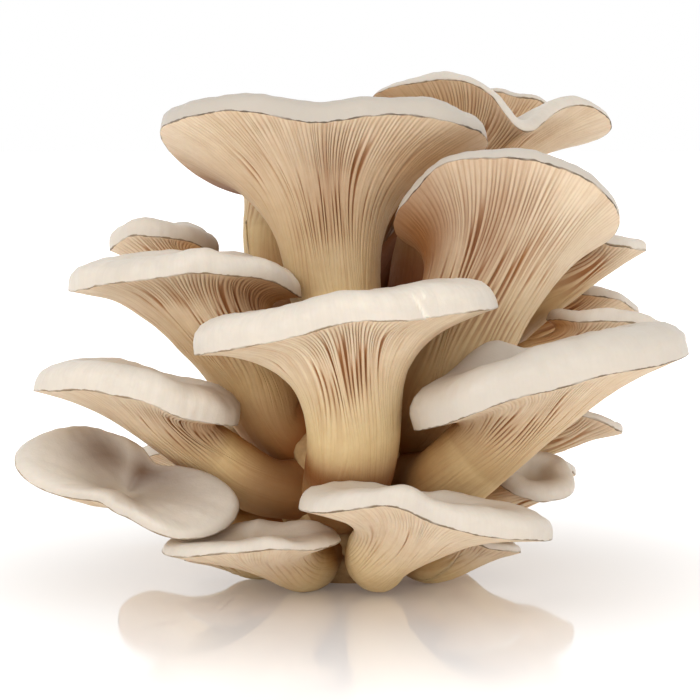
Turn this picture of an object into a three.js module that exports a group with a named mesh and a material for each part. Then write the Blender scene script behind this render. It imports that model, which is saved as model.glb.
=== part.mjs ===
// An oyster mushroom cluster: fan-shaped mushrooms of many sizes that grow in tiers from one common foot.
// Units are millimetres. +Z is up, the largest undersides show from -Y, and the origin is the centre of the
// flat face where the cluster was cut from its block. Each mushroom is one solid, with its stem, its gilled
// underside and its cap, because it grew as one; the foot is one more.
import * as THREE from "three";

const COLUMNS = 24; // points around every mushroom, and around the foot

// The foot: an egg-shaped lump that the stems spring from, cut flat at z = 0.
const FOOT_MIDDLE = new THREE.Vector3(0, 0, 26);
const FOOT_RADII = new THREE.Vector3(24, 22, 34);
const FOOT_RINGS = 8;
const FOOT_BULGE = 0.05; // share of the radius by which its surface rises and sinks
const STEM_GAP = 0.9; // between the foot and the end of each stem

// Where along each curve a ring of points lies, from 0 at its start to 1 at its end.
const STEM_STEPS = [0, 0.5, 1];
const UNDERSIDE_STEPS = [0.34, 0.7];
const TOP_STEPS = [0.2, 0.48, 0.8];

// How far the curves keep to the directions that they leave and arrive in, as shares of these lengths.
const STEM_HOLD = 0.4; // at both ends of a stem, of the distance from its root to its neck
const NECK_HOLD = 0.5; // above the neck, of the distance from there to the rim
const RIM_HOLD = 0.4; // from the rim, of the way to the point below the hub that undersides lean towards
const RIM_DROP = 0.35; // depth of that point, of the distance from neck to rim, where a mushroom has no own
const MARGIN_RISE = 1.1; // up from the rim, of the roll
const MARGIN_SPREAD = 0.1; // outwards from the rim, of the roll
const TOP_HOLD = 0.55; // from the middle of the cap, of the way to the rim
const TOP_RISE = 1.2; // above that point, of the roll

// Each mushroom:
//   root   where its stem springs from the foot: degrees from +X towards +Y, and height
//   neck   centre of the stem where the gills begin to flare
//   hub    centre of the cap, in the plane of its rim
//   face   direction that the cap faces
//   girth  radius of the stem at its root and at its neck
//   reach  from the hub to the rim, on eight bearings: right, back right, back and so on round
//   lift   height of the rim above its plane, on the same bearings
//   roll   height of the rounded margin above the rim
//   dish   depth of the hollow in the middle of the cap
//   drop   how steeply the underside comes to the rim, less than 0.35 for flatter undersides
//   folds  creases in the rim: [degrees from the right towards the back, width, lift, push outwards]
const MUSHROOMS = {
  crown: {
    root: [278, 57], neck: [-4, 3, 80], hub: [-8, 10, 120], face: [0, 0.34, 0.94], girth: [8, 13],
    reach: [47, 29, 26, 32, 47, 40, 30, 41], lift: [2, 0, 0, -5, 5, 3, 0, 2], roll: 11, dish: 8,
  },
  right_upper: {
    root: [331, 45], neck: [26, -13, 60], hub: [46, -4, 101], face: [0.1, 0.62, 0.78], girth: [8, 15],
    reach: [29, 20, 16, 20, 32, 33, 31, 31], lift: [0, 0, 0, 0, -7, -1, 0, 0], roll: 8.5, dish: 7,
  },
  right_upper_lobe: {
    root: [16, 47], neck: [56, 15, 80], hub: [73, 16, 94], face: [0.15, 0.1, 0.98], girth: [4.5, 7],
    reach: [13, 11, 10, 10, 11, 10, 10, 11], roll: 4.5, dish: 2,
  },
  back_top_right: {
    root: [38, 54], neck: [25.5, 36.5, 100], hub: [42, 42, 131], face: [0.1, 0.45, 0.89], girth: [6, 9.5],
    reach: [36, 28, 16, 26, 36, 28, 22, 26], lift: [0, 0, 0, 0, 0, 0, -2, 0], roll: 5, dish: 7,
    folds: [[296, 22, -14, 0]],
  },
  back_top_small: {
    root: [88, 56.6], neck: [40, 68, 117.5], hub: [50, 72, 132.5], face: [0.2, 0.5, 0.84], girth: [4, 6],
    reach: [13, 12, 11, 12, 13, 11, 8, 11], roll: 3, dish: 3,
  },
  left_upper: {
    root: [200, 44], neck: [-28, -8, 60], hub: [-46, -10, 86], face: [0, 0, 1], girth: [9, 12],
    reach: [32, 26, 20, 26, 33, 28, 24, 28], lift: [-5, 0, 0, 0, -3, 0, 3, 2], roll: 10, dish: 7, drop: 0.12,
  },
  left_back_small: {
    root: [160, 50], neck: [-44, 27, 81], hub: [-55, 30, 93.5], face: [0, 0.05, 1], girth: [4.5, 6.5],
    reach: [16, 14, 12, 14, 16, 13, 12, 13], lift: [-3, 0, 0, 0, -2, 2, 2, 0], roll: 8, dish: 3,
  },
  centre_front: {
    root: [265, 27], neck: [1, -38, 48], hub: [-1, -48, 74], face: [-0.18, 0, 0.98], girth: [9, 13],
    reach: [41, 32, 24, 32, 41, 33, 26, 33], lift: [0, 0, 0, 0, 2, 4, 5, 3], roll: 13, dish: 6, drop: 0.12,
  },
  left_middle: {
    root: [224, 27], neck: [-38, -23, 38], hub: [-58, -30, 54], face: [0.24, 0.05, 0.97], girth: [7, 8.5],
    reach: [28, 20, 16, 22, 28, 26, 22, 24], lift: [0, 0, 0, 0, -4, 0, 2, 0], roll: 12, dish: 5, drop: 0.05,
  },
  left_low: {
    root: [192, 19], neck: [-38, -15, 20], hub: [-60, -42, 33], face: [0.22, -0.55, 0.8], girth: [6, 7],
    reach: [30, 12, 16, 25, 31, 13, 13, 25], roll: 3.5, dish: 4,
  },
  right_middle: {
    root: [318, 29], neck: [34, -38, 40], hub: [54, -43, 59], face: [-0.22, 0.04, 0.98], girth: [7, 10.5],
    reach: [38, 24, 15, 20, 38, 32, 24, 32], lift: [1, 0, 0, 0, -3, 0, 2, 2], roll: 14, dish: 3, drop: 0.08,
    folds: [[140, 20, 6, 0]],
  },
  right_middle_back: {
    root: [355, 33], neck: [50, 0, 57], hub: [76, 1, 70], face: [0.17, 0.15, 0.97], girth: [6, 9],
    reach: [20, 18, 16, 14, 20, 18, 16, 18], lift: [0, 1, -2, 1, 0, 0, 2, 1], roll: 6, dish: 4, drop: 0.1,
  },
  right_back: {
    root: [40, 40], neck: [48, 26, 64], hub: [68, 35, 77], face: [0.2, 0.15, 0.97], girth: [5, 8],
    reach: [18, 16, 14, 16, 18, 14, 12, 15], lift: [-1, 2, 0, -2, 1, 0, 0, 1], roll: 4, dish: 3,
  },
  right_low_back: {
    root: [8, 21], neck: [50, 8, 37.5], hub: [65, 5, 44.5], face: [0.3, 0.2, 0.93], girth: [5.5, 7],
    reach: [14, 14, 12, 11, 11, 11, 12, 14], roll: 3.5, dish: 3,
  },
  right_low: {
    root: [345, 13], neck: [38, -6, 21], hub: [52, -8, 30], face: [0.2, -0.5, 0.84], girth: [4.5, 6.5],
    reach: [12, 11, 9, 11, 13, 12, 11, 12], roll: 4, dish: 0.5,
  },
  front_right_low: {
    root: [290, 11], neck: [7.5, -34, 12], hub: [20, -60, 25.5], face: [0.12, 0, 0.99], girth: [7, 9.5],
    reach: [34, 18, 11, 20, 34, 24, 15, 24], lift: [0, 0, 0, 0, 0, 2, 2, 1], roll: 9, dish: 3, drop: 0.1,
    folds: [[240, 24, 3.5, 0]],
  },
  front_left_low: {
    root: [240, 10], neck: [-14, -29, 9], hub: [-26, -47, 18.8], face: [0.02, -0.06, 0.99], girth: [7, 8.2],
    reach: [24, 18, 13, 18, 25, 18, 14, 18], lift: [0, 0, 0, -2, -4, -2, 0, 0], roll: 3.5, dish: 2,
  },
  right_bottom: {
    root: [325, 7], neck: [27, -17, 7], hub: [36, -22, 13], face: [0.2, 0.1, 0.96], girth: [4, 5.5],
    reach: [12, 11, 9, 11, 13, 11, 11, 12], roll: 3, dish: 2,
  },
  left_bottom: {
    root: [190, 6], neck: [-28, -9, 4.5], hub: [-37, -12, 8.5], face: [-0.2, 0.2, 0.96], girth: [3, 4],
    reach: [9, 9, 9, 9, 10, 9, 9, 9], roll: 2.5, dish: 2,
  },
  back_upper_left: {
    root: [125, 54], neck: [-24, 48, 95], hub: [-23, 58, 115], face: [-0.1, 0.45, 0.9], girth: [4.5, 8.2],
    reach: [17, 18, 18, 18, 16, 14, 13, 14], lift: [1, 2, -2, 1, 2, 0, 0, 0], roll: 4, dish: 4,
  },
  back_top: {
    root: [90, 45], neck: [0, 46, 73.5], hub: [0, 62, 95], face: [0, 0.45, 0.89], girth: [7, 10],
    reach: [20, 23, 19, 19, 15, 14, 17, 19], lift: [2, -1, 1, 3, 0, -2, 1, 3], roll: 6, dish: 5,
  },
  back_left_middle: {
    root: [135, 34], neck: [-27, 39, 52], hub: [-32, 57, 68], face: [-0.1, 0.3, 0.95], girth: [6.5, 10],
    reach: [22, 21, 20, 20, 19, 18, 17, 19], lift: [3, 0, -2, 1, 3, 0, 2, -1], roll: 6, dish: 4,
  },
  back_left_low: {
    root: [150, 13], neck: [-33, 24, 18], hub: [-47, 42, 27], face: [-0.3, 0.3, 0.9], girth: [7, 9.5],
    reach: [20, 23, 19, 23, 24, 19, 18, 20], lift: [0, 3, 1, -2, 2, 3, 0, 1], roll: 6, dish: 4,
  },
  back_centre_low: {
    root: [92, 9], neck: [2, 36, 10.5], hub: [2, 53, 18.5], face: [0, 0.2, 0.98], girth: [6.5, 9],
    reach: [27, 21, 21, 19, 25, 20, 15, 21], lift: [3, 0, 2, -1, 2, 1, 2, 0], roll: 5, dish: 4,
  },
  back_right_low: {
    root: [30, 10], neck: [34, 22, 16], hub: [50, 35, 27], face: [0.25, 0.3, 0.92], girth: [7, 9.5],
    reach: [18, 19, 21, 19, 16, 17, 16, 17], lift: [1, 3, -1, 2, 0, 1, 2, 0], roll: 5, dish: 4,
  },
  back_right_middle: {
    root: [58, 26], neck: [30, 38, 46], hub: [44, 54, 58], face: [0.2, 0.3, 0.93], girth: [6.5, 10],
    reach: [22, 22, 20, 20, 19, 17, 16, 18], lift: [3, 0, 2, -1, 1, 0, 2, 1], roll: 6, dish: 4,
  },
  back_centre: {
    root: [92, 27], neck: [4, 46, 42.5], hub: [5, 66, 54], face: [0, 0.35, 0.94], girth: [7, 10],
    reach: [21, 22, 19, 22, 23, 20, 17, 18], lift: [1, 3, -1, 2, 0, -1, 1, 0], roll: 6, dish: 4,
  },
};

const LEVEL = [0, 0, 0, 0, 0, 0, 0, 0];
const BEARING = 360 / LEVEL.length;

const FLESH = { color: 0xd8bf98, roughness: 0.75, metalness: 0 };
const FOOT_FLESH = { color: 0xcdb48c, roughness: 0.85, metalness: 0 };

const vector = (xyz) => new THREE.Vector3(...xyz);
const degrees = Array.from({ length: COLUMNS }, (_, c) => (360 * c) / COLUMNS);

// Two unit vectors square to `normal`: one near `right`, and one square to both, towards the back.
function planeAxes(normal, right = new THREE.Vector3(1, 0, 0)) {
  const across = right.clone().projectOnPlane(normal).normalize();
  return [across, normal.clone().cross(across)];
}

// A point from a centre by a distance on a bearing in the plane of two axes.
function polar(centre, [across, back], bearing, distance) {
  const angle = THREE.MathUtils.degToRad(bearing);
  return centre.clone()
    .addScaledVector(across, distance * Math.cos(angle))
    .addScaledVector(back, distance * Math.sin(angle));
}

// The value on a bearing of a smooth closed curve through eight values.
function around(values, bearing) {
  const place = bearing / BEARING;
  const first = Math.floor(place);
  const t = place - first;
  const [a, b, c, d] = [-1, 0, 1, 2].map((k) => values[(first + k + values.length) % values.length]);
  return b + 0.5 * t * (c - a + t * (2 * a - 5 * b + 4 * c - d + t * (3 * (b - c) + d - a)));
}

// A closed surface from a start point, rings of points and an end point.
function closedSurface(start, rings, end) {
  const points = [start, ...rings.flat(), end];
  const faces = [];
  const at = (ring, column) => 1 + ring * COLUMNS + (column % COLUMNS);
  for (let c = 0; c < COLUMNS; c++) {
    faces.push(0, at(0, c + 1), at(0, c));
    for (let r = 0; r + 1 < rings.length; r++) {
      faces.push(at(r, c), at(r, c + 1), at(r + 1, c + 1));
      faces.push(at(r, c), at(r + 1, c + 1), at(r + 1, c));
    }
    faces.push(at(rings.length - 1, c), at(rings.length - 1, c + 1), points.length - 1);
  }
  return new THREE.BufferGeometry().setFromPoints(points).setIndex(faces);
}

// Share of the egg's width at a height on a bearing, with its shallow bulges.
function footShare(bearing, height) {
  const rise = (height - FOOT_MIDDLE.z) / FOOT_RADII.z;
  const width = Math.sqrt(Math.max(0, 1 - rise * rise));
  return width * (1 + FOOT_BULGE * width * Math.sin(THREE.MathUtils.degToRad(3 * bearing) + 4 * rise));
}

function footPoint(bearing, height) {
  const angle = THREE.MathUtils.degToRad(bearing);
  const share = footShare(bearing, height);
  return new THREE.Vector3(
    FOOT_RADII.x * share * Math.cos(angle),
    FOOT_RADII.y * share * Math.sin(angle),
    height,
  ).add(new THREE.Vector3(FOOT_MIDDLE.x, FOOT_MIDDLE.y, 0));
}

// Where a stem springs from the foot, a little off its surface, and the way it faces there.
function springOf([bearing, height]) {
  const point = footPoint(bearing, height);
  const outward = point.clone().sub(FOOT_MIDDLE)
    .divide(FOOT_RADII).divide(FOOT_RADII)
    .normalize();
  return [point.addScaledVector(outward, STEM_GAP), outward];
}

// The rim, as a function of the bearing: the eight reaches and lifts, joined smoothly, and the creases.
function rimPoint({ reach, lift = LEVEL, folds = [] }, hub, face, axes, bearing) {
  let distance = around(reach, bearing);
  let height = around(lift, bearing);
  for (const [where, width, up, out] of folds) {
    const turn = Math.abs(((bearing - where + 540) % 360) - 180);
    const share = Math.exp(-((turn / width) ** 2));
    height += up * share;
    distance += out * share;
  }
  return polar(hub, axes, bearing, distance).addScaledVector(face, height);
}

const curve = (a, b, c, d) => new THREE.CubicBezierCurve3(a, b, c, d);

// One mushroom. The stem leaves the foot squarely and bends to the neck, the underside goes on from the
// stem and curves out to the rim, and the top rises over a rounded margin and sinks to its hollow.
function mushroomGeometry(shape) {
  const { drop = RIM_DROP } = shape;
  const face = vector(shape.face).normalize();
  const axes = planeAxes(face);
  const neck = vector(shape.neck);
  const hub = vector(shape.hub);
  const heart = hub.clone().addScaledVector(face, -shape.dish);
  const [spring, leaving] = springOf(shape.root);
  const flaring = hub.clone().sub(neck).normalize();
  const bend = STEM_HOLD * spring.distanceTo(neck);
  const spine = curve(
    spring,
    spring.clone().addScaledVector(leaving, bend),
    neck.clone().addScaledVector(flaring, -bend),
    neck,
  );
  // From the neck down to the root, each ring is turned as little as possible from the one above it.
  let plane = axes;
  const stemRings = STEM_STEPS.toReversed().map((step) => {
    plane = planeAxes(spine.getTangent(step), plane[0]);
    const radius = THREE.MathUtils.lerp(shape.girth[0], shape.girth[1], step);
    return degrees.map((bearing) => polar(spine.getPoint(step), plane, bearing, radius));
  }).reverse();
  const rim = degrees.map((bearing) => rimPoint(shape, hub, face, axes, bearing));

  const undersides = rim.map((edge, c) => {
    const start = stemRings.at(-1)[c];
    const length = edge.distanceTo(start);
    const below = hub.clone().addScaledVector(face, -drop * length);
    return curve(
      start,
      start.clone().addScaledVector(flaring, NECK_HOLD * length),
      edge.clone().lerp(below, RIM_HOLD),
      edge,
    );
  });
  const tops = rim.map((edge) => {
    const outward = edge.clone().sub(hub).projectOnPlane(face).normalize();
    return curve(
      edge,
      edge.clone()
        .addScaledVector(face, MARGIN_RISE * shape.roll)
        .addScaledVector(outward, MARGIN_SPREAD * shape.roll),
      heart.clone().lerp(edge, TOP_HOLD).addScaledVector(face, TOP_RISE * shape.roll),
      heart,
    );
  });
  const rings = [
    ...stemRings,
    ...UNDERSIDE_STEPS.map((step) => undersides.map((path) => path.getPoint(step))),
    rim,
    ...TOP_STEPS.map((step) => tops.map((path) => path.getPoint(step))),
  ];
  return closedSurface(spring, rings, heart);
}

// The foot: rings from the flat cut face up to its top.
function footGeometry() {
  const lowest = Math.asin(-FOOT_MIDDLE.z / FOOT_RADII.z);
  const rings = Array.from({ length: FOOT_RINGS }, (_, r) => {
    const rise = THREE.MathUtils.lerp(lowest, Math.PI / 2, r / FOOT_RINGS);
    const height = r ? FOOT_MIDDLE.z + FOOT_RADII.z * Math.sin(rise) : 0;
    return degrees.map((bearing) => footPoint(bearing, height));
  });
  const top = FOOT_MIDDLE.clone().setZ(FOOT_MIDDLE.z + FOOT_RADII.z);
  return closedSurface(FOOT_MIDDLE.clone().setZ(0), rings, top);
}

function named(name, geometry, finish) {
  const mesh = new THREE.Mesh(geometry, new THREE.MeshStandardMaterial(finish));
  mesh.name = name;
  return mesh;
}

const cluster = new THREE.Group();
cluster.name = "oyster_mushroom_cluster";
cluster.add(named("foot", footGeometry(), FOOT_FLESH));
for (const [name, shape] of Object.entries(MUSHROOMS)) {
  cluster.add(named(name, mushroomGeometry(shape), FLESH));
}

export default cluster;
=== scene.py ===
"""An oyster mushroom cluster: the look of every mushroom and of the common foot.

The frame holds each mushroom as a coarse net: rings of points from the stem's root, up the stem, along
the underside to the rim, over the rounded margin and down to the hollow of the cap. This add-on reads the
nets, carries a smooth surface through each, sinks the grooves between the gills, makes the margins uneven,
and gives caps, gills and foot their finishes. The frame is in metres, +Z up, and the front faces -Y.
"""

import math

import bpy
import numpy as np
from bpy.props import FloatProperty, FloatVectorProperty, IntProperty, PointerProperty
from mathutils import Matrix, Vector


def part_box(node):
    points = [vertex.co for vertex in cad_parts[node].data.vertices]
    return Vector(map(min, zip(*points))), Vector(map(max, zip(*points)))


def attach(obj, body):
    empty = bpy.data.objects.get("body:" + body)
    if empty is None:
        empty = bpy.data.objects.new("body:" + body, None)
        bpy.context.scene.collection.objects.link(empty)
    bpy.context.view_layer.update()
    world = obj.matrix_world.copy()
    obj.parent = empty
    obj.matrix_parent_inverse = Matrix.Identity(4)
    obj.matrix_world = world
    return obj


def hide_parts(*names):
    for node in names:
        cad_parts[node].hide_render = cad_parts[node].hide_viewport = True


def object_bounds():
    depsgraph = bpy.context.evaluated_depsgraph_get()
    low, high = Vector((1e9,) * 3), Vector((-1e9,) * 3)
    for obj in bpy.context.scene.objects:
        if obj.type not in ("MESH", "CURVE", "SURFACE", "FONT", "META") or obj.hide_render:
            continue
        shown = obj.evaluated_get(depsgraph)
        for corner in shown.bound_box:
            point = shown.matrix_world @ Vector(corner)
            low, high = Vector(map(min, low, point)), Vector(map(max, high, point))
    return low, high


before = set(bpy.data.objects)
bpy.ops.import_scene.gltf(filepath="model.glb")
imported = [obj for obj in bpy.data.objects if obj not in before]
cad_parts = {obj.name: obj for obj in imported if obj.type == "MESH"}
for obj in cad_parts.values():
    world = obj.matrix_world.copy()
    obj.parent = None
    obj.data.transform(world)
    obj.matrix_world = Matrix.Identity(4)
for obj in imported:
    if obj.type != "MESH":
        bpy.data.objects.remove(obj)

bl_info = {
    "name": "Oyster Mushroom Cluster",
    "version": (1, 0, 0),
    "blender": (4, 5, 0),
    "location": "3D View > Sidebar > Mushrooms",
    "description": "Grows gills, margins and skins on the nets of an oyster mushroom cluster",
    "category": "Object",
}

MM = 0.001
TURN = 2 * math.pi
TINY = 1e-12  # keeps divisions by a length away from zero
CAD_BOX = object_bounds()
FOOT = "foot"
MUSHROOMS = sorted(set(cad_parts) - {FOOT})

# Which rings of a mushroom's net are which.
NECK_RING = 2
RIM_RING = 5
RIM_FROM_END = -4  # the rim again, counted from the last ring
WELD = 1e-6  # corners of the net closer than this are one point

# Where gills of each level start, from 0 at the neck to 1 at the rim, and how high they stand. Those of the
# first level run the whole way.
GILL_LEVELS = (((-9.0, -8.0), 1.0), ((-0.95, 0.1), 0.95), ((0.05, 0.65), 0.9))
LEVELS_IN_TURN = (0, 2, 1, 2)  # a full gill, a short one, a middling one and a short one
GILLS_PER_FULL_GILL = len(LEVELS_IN_TURN)
FEWEST_FULL_GILLS = 10
LOWEST_GILL = 0.75  # the lowest gill of a level, as a share of the highest
COLUMNS_PER_GILL = 4
GILL_REACH = 9  # columns on each side of a gill that its blade can cover
GILL_FADE = 0.3  # the stretch over which a gill rises
GILL_FLOOR = 0.15  # height of the flesh between gills, as a share of theirs
FUSED_SWELLS = (-0.4, 1.4)  # the swells at which grooves begin to be shallower and are shallowest
DRIFTS = ((3, 2.2, 1.0), (7, 5, 0.6))  # waves in which gills wander: count round, turning along, share

# How deep the gills are, as a share of the deepest, from the root (-1) past the neck (0) to the rim (1).
DEPTH_AT = (-1.0, -0.7, -0.3, 0.0, 0.3, 0.7, 0.9, 0.97, 1.0)
DEPTH_SHARE = (0.0, 0.06, 0.1, 0.2, 0.7, 1.0, 0.6, 0.2, 0.0)

# Tears in the margin: place round the rim in turns from +X by the back, length above the rim, half width.
TEARS = {"centre_front": ((0.868, 9 * MM, 0.45 * MM),)}
TEAR_BELOW = 2 * MM  # how far a tear runs on below the rim
TEAR_DEPTH = 0.5 * MM
TEAR_SLANT = -0.35  # how far a tear leans aside for each metre up
FORK_SLANT = 0.5  # the same for the fork that leaves it half-way up
FORK_START = 0.5
TEAR_END = 0.8  # the share of its length from which a tear closes

# Caps painted greyer than the others, from 0 to 1: painted shade on the caps that face away from the light.
PAINTED_SHADE_GREY = {"crown": 1.0, "right_upper": 0.8, "right_middle": 0.6, "front_right_low": 0.4, "right_back": 0.5}

# Soft spots of painted shade where the cluster shades itself: on the underside (-1), the stem (0) or the cap
# (1), then centre, width, and strength from 0 to 1. On the underside and the cap, the centre is in shares of
# the way from the neck or the middle of the cap to the rim, to the right and to the back. On the stem it is
# the share of the way from neck to root.
PAINTED_SHADE_SPOTS = {
    "crown": ((-1, (-0.75, 0.55), 0.36, 1.0), (-1, (0.05, -0.5), 0.38, 0.5), (0, (0.6, 0), 0.3, 0.3)),
    "right_upper": ((-1, (-0.65, -0.4), 0.5, 1.0), (-1, (0.0, -0.6), 0.45, 0.5)),
    "back_upper_left": ((-1, (0.0, 0.0), 0.6, 0.2), (0, (0.6, 0), 0.4, 0.7)),
    "back_top": ((-1, (0.0, 0.0), 0.9, 1.0), (0, (0.4, 0), 0.8, 1.0)),
    "back_top_right": ((0, (0.4, 0), 0.35, 1.0),),
    "back_top_small": ((0, (0.5, 0), 0.5, 1.0),),
    "front_left_low": ((-1, (0.2, -0.3), 0.4, 0.35),),
    "left_upper": ((-1, (0.65, -0.35), 0.4, 0.5),),
    "centre_front": ((-1, (0.1, -0.5), 0.25, 0.25), (0, (0.38, 0), 0.22, 1.0)),
    "left_middle": ((-1, (0.35, -0.3), 0.45, 0.4), (0, (0.5, 0), 0.35, 0.45)),
    "right_middle": ((-1, (-0.1, -0.2), 0.45, 0.4), (0, (0.5, 0), 0.4, 0.35)),
    "left_low": ((1, (-0.3, 0.42), 0.42, 0.9), (1, (0.3, 0.4), 0.5, 1.0)),
}

PALE_EDGE = 0.25  # the outer share of a cap in which its painted shade spots fade out
MOST_SHUT_IN = 2.5  # points that are more shut in than this count as this
FULL_SIZE_RIM = 0.25  # mushrooms with a shorter rim than this have shallower gills and lower waves

WAVES = 12  # sine waves in each random swell
WAVE_SPEEDS = (0.7, 1.5)  # slowest and fastest, in waves for each size of the swell
SLOW_RIM_WAVES = (3, 9)  # fewest and most waves round the rim
QUICK_RIM_WAVES = (16, 48)
QUICK_RIM_HEIGHT = 0.16  # as a share of the slow waves' height
RIM_RISE = 0.8  # height of the waves upwards, as a share of those outwards
RIM_SEED = 1000  # added to a mushroom's seed for these

# Distances from the rim of the rows of points near it, on the underside and on the cap.
UNDERSIDE_FINE_ROWS = np.array([3.6, 2.7, 1.9, 1.2, 0.7, 0.3, 0.0]) * MM
CAP_FINE_ROWS = np.array([0.35, 0.8, 1.4, 2.2, 3.2, 4.4, 5.8]) * MM
CAP_ROW = 1.7  # distance between a cap's other rows, as a share of the gills' rows
FEWEST_UNDERSIDE_ROWS = 3
FEWEST_CAP_ROWS = 6

UNDERSIDE_SKIN = 0.35  # how rough the underside is, as a share of the cap
SKIN_FROM_RIM = 6 * MM  # how far from the rim the skin has its full roughness

FLOW_ALONG = 0.1  # length of the streaks' pattern from the root to the neck and on to the rim

# Every second column is kept up to these shares of the stem and of the cap, every fourth up to the last.
HALVED_STEM = 0.6
HALVED_CAP = 0.4
QUARTERED_CAP = 0.7

CLOUD_SHADE = 0.985  # colour of the floor's clouds, as a share of its own
FLOOR_IOR = 2.1
KEY_LIGHT = ((-0.45, -0.95, 0.5), 0.9, (1.0, 0.98, 0.95))  # place, size and tint
FILL_LIGHT = ((0.8, -0.5, 0.3), 0.6, (1.0, 0.97, 0.93))

FOOT_SEED = 7
FOOT_LUMPS = ((12 * MM, 1.0), (4 * MM, 0.5))  # widths and shares of its lumps
FOOT_FLAT_EDGE = 5 * MM  # how far from the cut face the lumps have their full height
CUT_FACE_RINGS = 8
CUT_FACE_START = 0.15  # the first of those rings, as a share of the face's radius


def linear(*eight_bit):
    """A screen colour, 0 to 255, as the linear colour that shaders use."""
    share = np.array(eight_bit) / 255
    return tuple(np.where(share > 0.04045, ((share + 0.055) / 1.055) ** 2.4, share / 12.92))


def length_property(name, description, default):
    """A property that holds a length in metres."""
    return FloatProperty(
        name=name, description=description, default=default,
        min=0, precision=5, subtype="DISTANCE", unit="LENGTH",
    )


def share_property(name, description, default):
    """A property that holds a number without a unit."""
    return FloatProperty(name=name, description=description, default=default)


def colour_property(name, description, *eight_bit):
    """A property that holds a colour."""
    return FloatVectorProperty(
        name=name, description=description, default=linear(*eight_bit), min=0, max=1, subtype="COLOR",
    )


class GillSettings(bpy.types.PropertyGroup):
    """Sizes and colours of the undersides and stems."""

    spacing: length_property("Spacing", "Distance between gills at the rim", 1.35 * MM)
    depth: length_property("Depth", "Depth of the deepest grooves between gills", 1.7 * MM)
    edge: length_property("Edge", "Half the width of a gill's edge", 0.28 * MM)
    blade: length_property("Blade", "Half the width of a gill where it meets the flesh", 0.64 * MM)
    row: length_property("Row", "Distance between points along a gill", 1.4 * MM)
    drift: share_property("Drift", "How far gills wander, in full gills", 0.5)
    uneven: share_property("Uneven", "How far gills are out of their even places, in gills", 0.3)
    fused: share_property("Fused", "How much shallower the grooves are in places", 0.6)
    fused_size: length_property("Fused size", "Width of those places", 26 * MM)
    side: share_property("Side", "Depth at the sides of a fan, as a share of its middle's", 0.25)
    root: length_property("Root", "How far a stem runs on into the foot", 7 * MM)
    swell: share_property("Swell", "How much wider a stem is at its root than its net", 0.22)
    bright: colour_property("Gill edges", "Colour of gill edges and of the flesh near the rim", 230, 211, 184)
    flesh: colour_property("Stem", "Colour of the stem and of the gills that run down it", 218, 193, 144)
    # painted shade: the colour deep between the gills
    groove: colour_property("Grooves", "Colour deep between the gills", 158, 101, 50)
    base: colour_property("Stem base", "Colour of the lowest part of the stem", 168, 122, 72)
    # painted shade: what the colour of shut-in flesh is multiplied by
    nook: colour_property("Nooks", "What shut-in flesh has its colours multiplied by", 222, 186, 140)
    # painted shade: what the spots of shade on the flesh have their colours multiplied by
    browned: colour_property("Painted shade spots", "What brown spots have their colours multiplied by", 165, 122, 78)


class CapSettings(bpy.types.PropertyGroup):
    """Sizes and colours of the caps and their margins."""

    wave: length_property("Wave", "Height of the waves in the rim", 0.5 * MM)
    wave_falloff: length_property("Wave falloff", "How far from the rim its waves reach", 9 * MM)
    swell: length_property("Swell", "Height of the broad swells of the skin", 0.5 * MM)
    swell_size: length_property("Swell size", "Width of those swells", 20 * MM)
    dimple: length_property("Dimple", "Height of the small spots of the skin", 0.1 * MM)
    dimple_size: length_property("Dimple size", "Width of those spots", 5 * MM)
    skin: colour_property("Skin", "Colour of most of the cap", 222, 212, 198)
    shade: colour_property("Shade", "Colour of the greyer patches of the cap", 190, 181, 169)
    hollow: colour_property("Hollow", "Colour in the middle of the cap", 178, 160, 138)
    margin: colour_property("Margin", "Colour of the thin line along the rim", 92, 79, 64)
    pale_margin: colour_property("Pale margin", "Colour of that line on the paler caps", 136, 116, 88)
    # painted shade: what the colour of shut-in skin is multiplied by
    nook: colour_property("Nooks", "What shut-in skin has its colours multiplied by", 214, 198, 180)
    # painted shade: the colour of the spots of shade on the caps
    browned: colour_property("Painted shade spots", "Colour of the brown spots", 96, 70, 50)
    torn: colour_property("Torn flesh", "Colour of the flesh where the skin is torn", 238, 230, 214)


class FootSettings(bpy.types.PropertyGroup):
    """Sizes and colours of the foot."""

    columns: IntProperty(name="Columns", description="Points around the foot", default=192)
    rows: IntProperty(name="Rows", description="Rings of points up the foot", default=96)
    lump: length_property("Lump", "Height of the foot's lumps", 0.8 * MM)
    flesh: colour_property("Flesh", "Colour of the foot", 205, 172, 122)
    dark: colour_property("Creases", "Colour of the foot's low places", 140, 96, 52)


class StageSettings(bpy.types.PropertyGroup):
    """The floor, the lights and the camera."""

    floor_colour: colour_property("Floor", "Colour of the floor", 246, 242, 239)
    floor_size: length_property("Floor size", "Half the side of the floor", 4.0)
    sky: share_property("Sky", "Strength of the white light from all round", 0.83)
    key: FloatProperty(name="Key light", description="Power of the large light", default=4.6, unit="POWER")
    fill: FloatProperty(name="Fill light", description="Power of the other light", default=1.3, unit="POWER")
    elevation: FloatProperty(
        name="Elevation", description="How far above level the camera stands",
        default=math.radians(6), unit="ROTATION",
    )
    distance: length_property("Distance", "From the camera to what it looks at", 0.75)
    view_width: length_property("View width", "How much the camera sees across at that distance", 198.5 * MM)
    target: FloatVectorProperty(
        name="Target", description="What the camera looks at",
        default=(0, -5 * MM, 65.5 * MM), subtype="TRANSLATION",
    )


# Nets


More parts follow.
